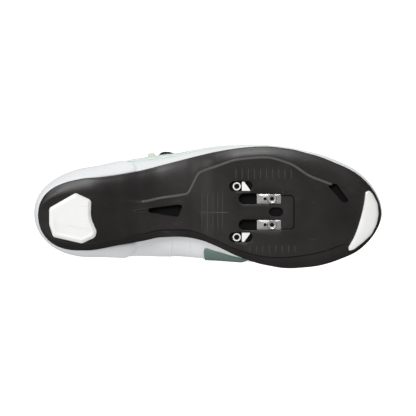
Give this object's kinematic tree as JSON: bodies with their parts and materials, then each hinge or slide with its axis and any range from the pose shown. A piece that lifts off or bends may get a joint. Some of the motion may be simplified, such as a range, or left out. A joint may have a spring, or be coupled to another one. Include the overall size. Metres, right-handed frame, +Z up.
{
  "type": "cycling shoe",
  "caption": "Low-cut white road cycling shoe for the right foot, lying on its inner side, with a stiff black sole, cleat slots, white heel and toe pads and a lace dial.",
  "frame": {"origin": "on the floor, under the middle of the bounding box, the shoe lying on its inner side", "axes": "+X from heel to toe, +Y from the sole towards the shoe's top, +Z up, towards the shoe's outer side"},
  "size_m": [0.2828, 0.1066, 0.0985],
  "materials": {
    "sole": "satin moulded composite",
    "pad": "smooth matt rubber",
    "insole": "brushed cloth on foam",
    "upper": "matt synthetic microfibre",
    "tongue": "padded knit",
    "upper_overlay": "smooth film overlay",
    "mint": "smooth film overlay",
    "green": "smooth film overlay",
    "steel": "satin",
    "pointer": "matt",
    "dial": "satin",
    "lace": "coated cord",
    "guide": "woven webbing"
  },
  "bodies": {
    "root": {"outsole": "sole", "heel_pad": "pad", "toe_pad": "pad", "insole": "insole", "upper": "upper", "tongue": "tongue", "heel_counter": "upper_overlay", "quarter_outer": "mint", "quarter_inner": "green", "nut_plate_outer": "steel", "nut_plate_inner": "steel", "bolt_outer": "steel", "bolt_inner": "steel", "ring_outer": "steel", "ring_inner": "steel", "pointer_outer": "pointer", "pointer_inner": "pointer", "dial_base": "dial", "dial_knob": "dial", "lace": "lace", "guide_dial": "guide", "guide_inner_rear": "guide", "guide_outer_rear": "guide", "guide_inner_front": "guide", "guide_outer_front": "guide"}
  },
  "joints": []
}
